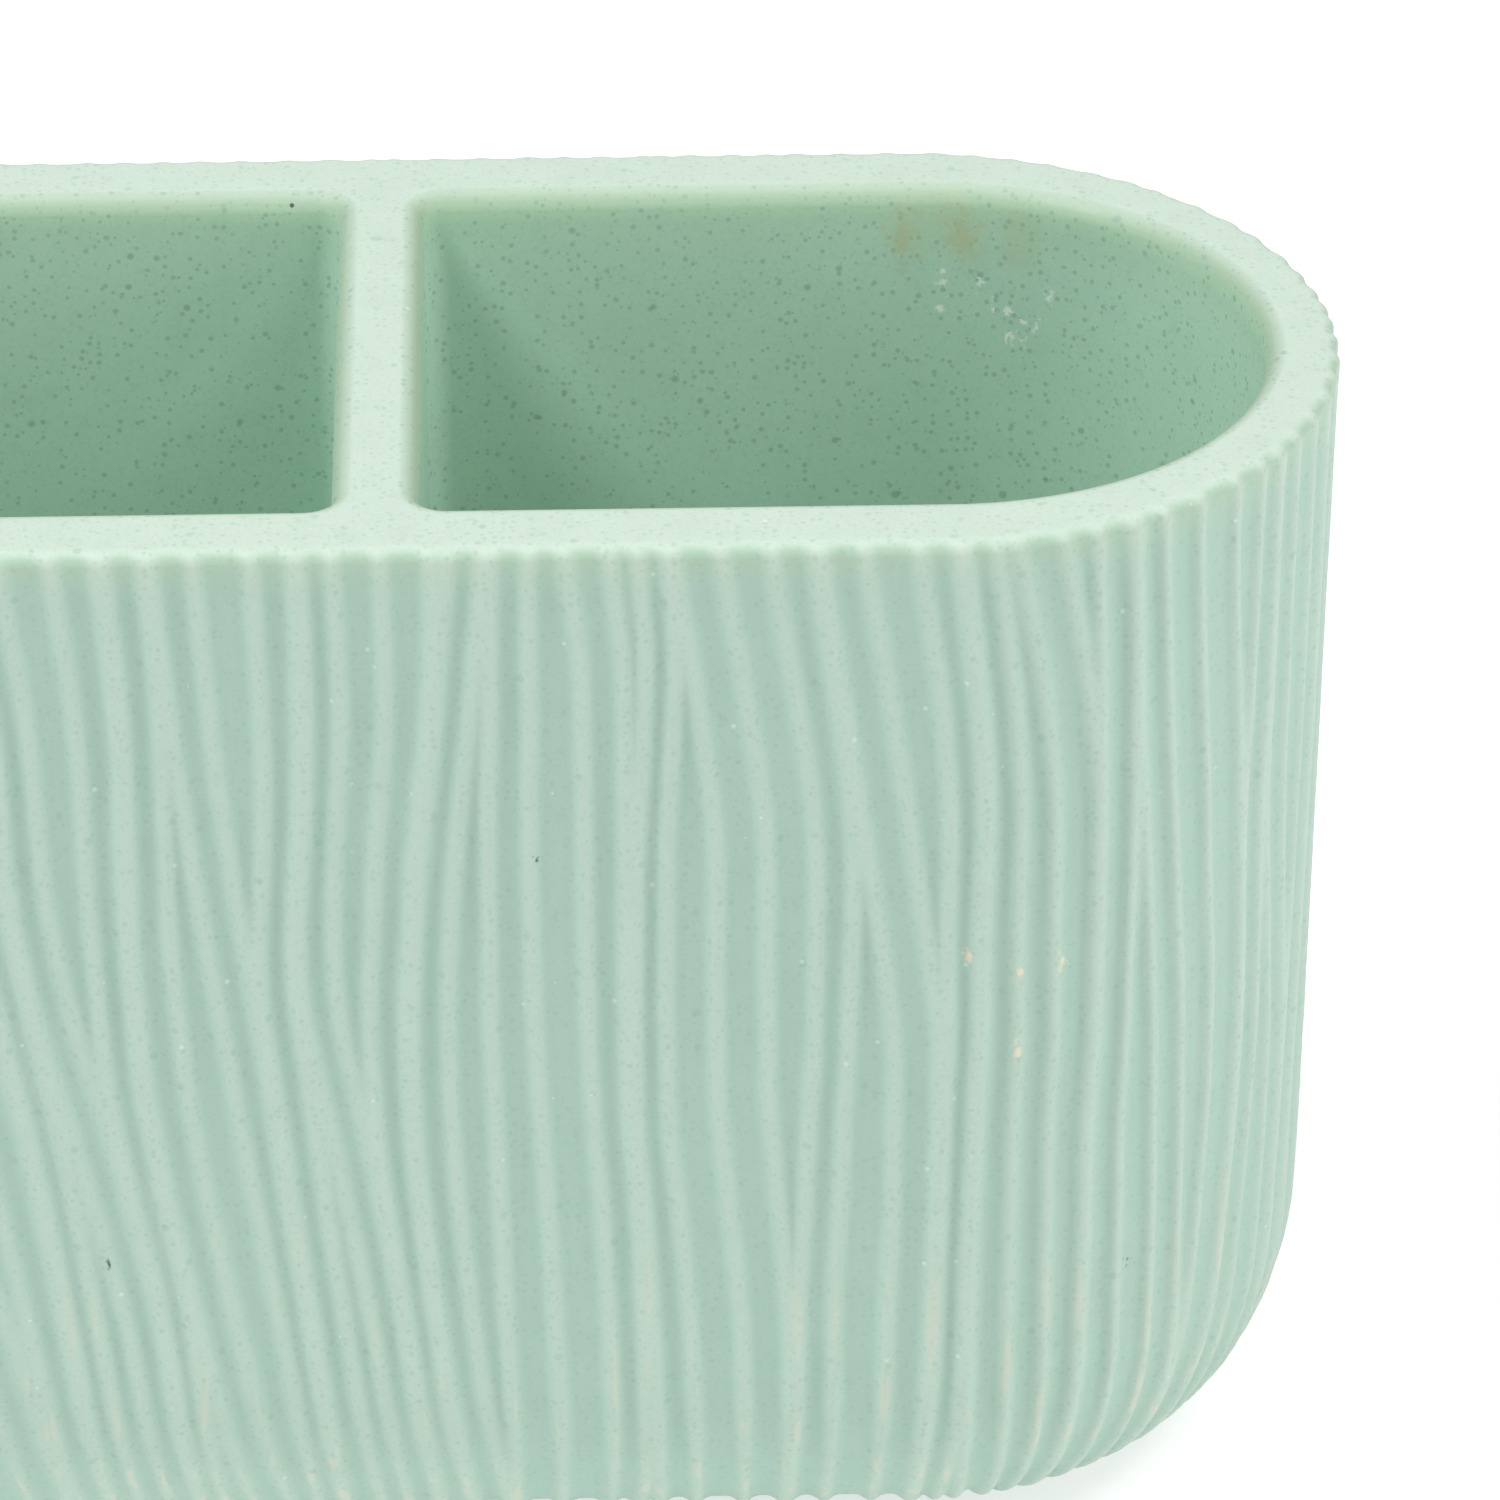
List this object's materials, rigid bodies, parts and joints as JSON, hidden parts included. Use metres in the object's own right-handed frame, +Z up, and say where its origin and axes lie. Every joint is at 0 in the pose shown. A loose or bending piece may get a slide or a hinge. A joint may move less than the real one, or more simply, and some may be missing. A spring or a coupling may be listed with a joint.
{
  "type": "toothbrush holder",
  "caption": "Oblong countertop cup with round ends, a divider between its compartments and bark-like ribs outside, to keep toothbrushes upright.",
  "frame": {"origin": "on the table, under the middle of the cup", "axes": "+X along the cup, +Y from the front to the back, +Z up"},
  "size_m": [0.15, 0.0668, 0.0969],
  "materials": {
    "cast_resin": "matte speckled cast resin, pale green",
    "foam_pad": "matte closed-cell foam, off-white"
  },
  "bodies": {
    "root": {"holder_body": "cast_resin", "foot_pad_front_left": "foam_pad", "foot_pad_front_right": "foam_pad", "foot_pad_rear_left": "foam_pad", "foot_pad_rear_right": "foam_pad"}
  },
  "joints": []
}
